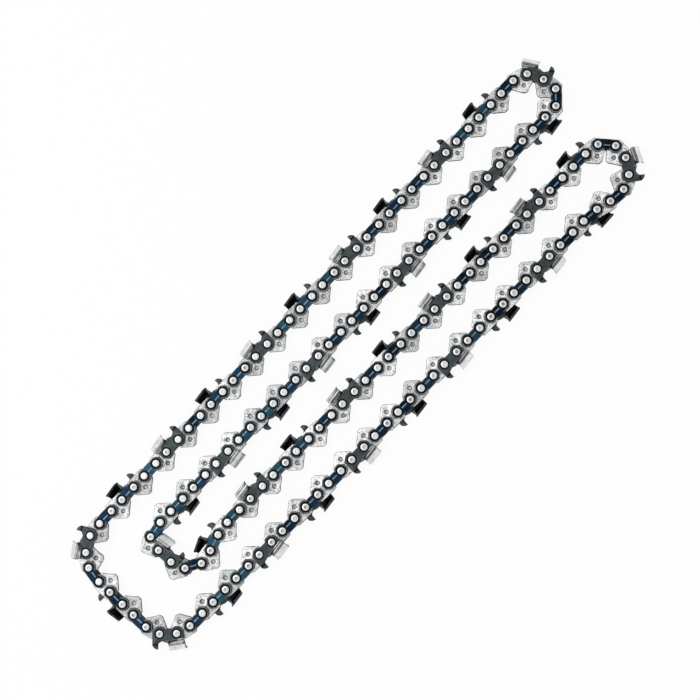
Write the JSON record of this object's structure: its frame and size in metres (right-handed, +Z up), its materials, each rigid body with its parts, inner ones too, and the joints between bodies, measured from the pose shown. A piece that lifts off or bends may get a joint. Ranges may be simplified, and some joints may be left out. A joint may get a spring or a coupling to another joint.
{
  "type": "chainsaw chain loop",
  "caption": "Closed loop of saw chain lying on its side in two long lobes, with pointed drive links, tie straps, left and right chamfered cutters with depth gauges, and rivets.",
  "frame": {"origin": "on the table, under the middle of the loop's bounding box", "axes": "+X along the strands towards the tips of the two lobes, +Y across the lobes, +Z up along the rivet axes"},
  "size_m": [0.4076, 0.106, 0.0076],
  "materials": {
    "drive_link_steel": "bright ground",
    "blued_steel": "dark blued",
    "cutter_steel": "dark chassis, hard chrome crown",
    "rivet_steel": "bright spun heads"
  },
  "bodies": {
    "root": {"drive_links": "drive_link_steel", "tie_straps_upper": "blued_steel", "tie_straps_lower": "blued_steel", "rivet_heads_upper": "rivet_steel", "rivet_heads_lower": "rivet_steel", "right_cutter_01": "cutter_steel", "right_cutter_02": "cutter_steel", "right_cutter_03": "cutter_steel", "right_cutter_04": "cutter_steel", "right_cutter_05": "cutter_steel", "right_cutter_06": "cutter_steel", "right_cutter_07": "cutter_steel", "right_cutter_08": "cutter_steel", "right_cutter_09": "cutter_steel", "right_cutter_10": "cutter_steel", "right_cutter_11": "cutter_steel", "right_cutter_12": "cutter_steel", "right_cutter_13": "cutter_steel", "right_cutter_14": "cutter_steel", "right_cutter_15": "cutter_steel", "right_cutter_16": "cutter_steel", "right_cutter_17": "cutter_steel", "right_cutter_18": "cutter_steel", "right_cutter_19": "cutter_steel", "right_cutter_20": "cutter_steel", "right_cutter_21": "cutter_steel", "left_cutter_01": "cutter_steel", "left_cutter_02": "cutter_steel", "left_cutter_03": "cutter_steel", "left_cutter_04": "cutter_steel", "left_cutter_05": "cutter_steel", "left_cutter_06": "cutter_steel", "left_cutter_07": "cutter_steel", "left_cutter_08": "cutter_steel", "left_cutter_09": "cutter_steel", "left_cutter_10": "cutter_steel", "left_cutter_11": "cutter_steel", "left_cutter_12": "cutter_steel", "left_cutter_13": "cutter_steel", "left_cutter_14": "cutter_steel", "left_cutter_15": "cutter_steel", "left_cutter_16": "cutter_steel", "left_cutter_17": "cutter_steel", "left_cutter_18": "cutter_steel", "left_cutter_19": "cutter_steel", "left_cutter_20": "cutter_steel", "left_cutter_21": "cutter_steel"}
  },
  "joints": []
}
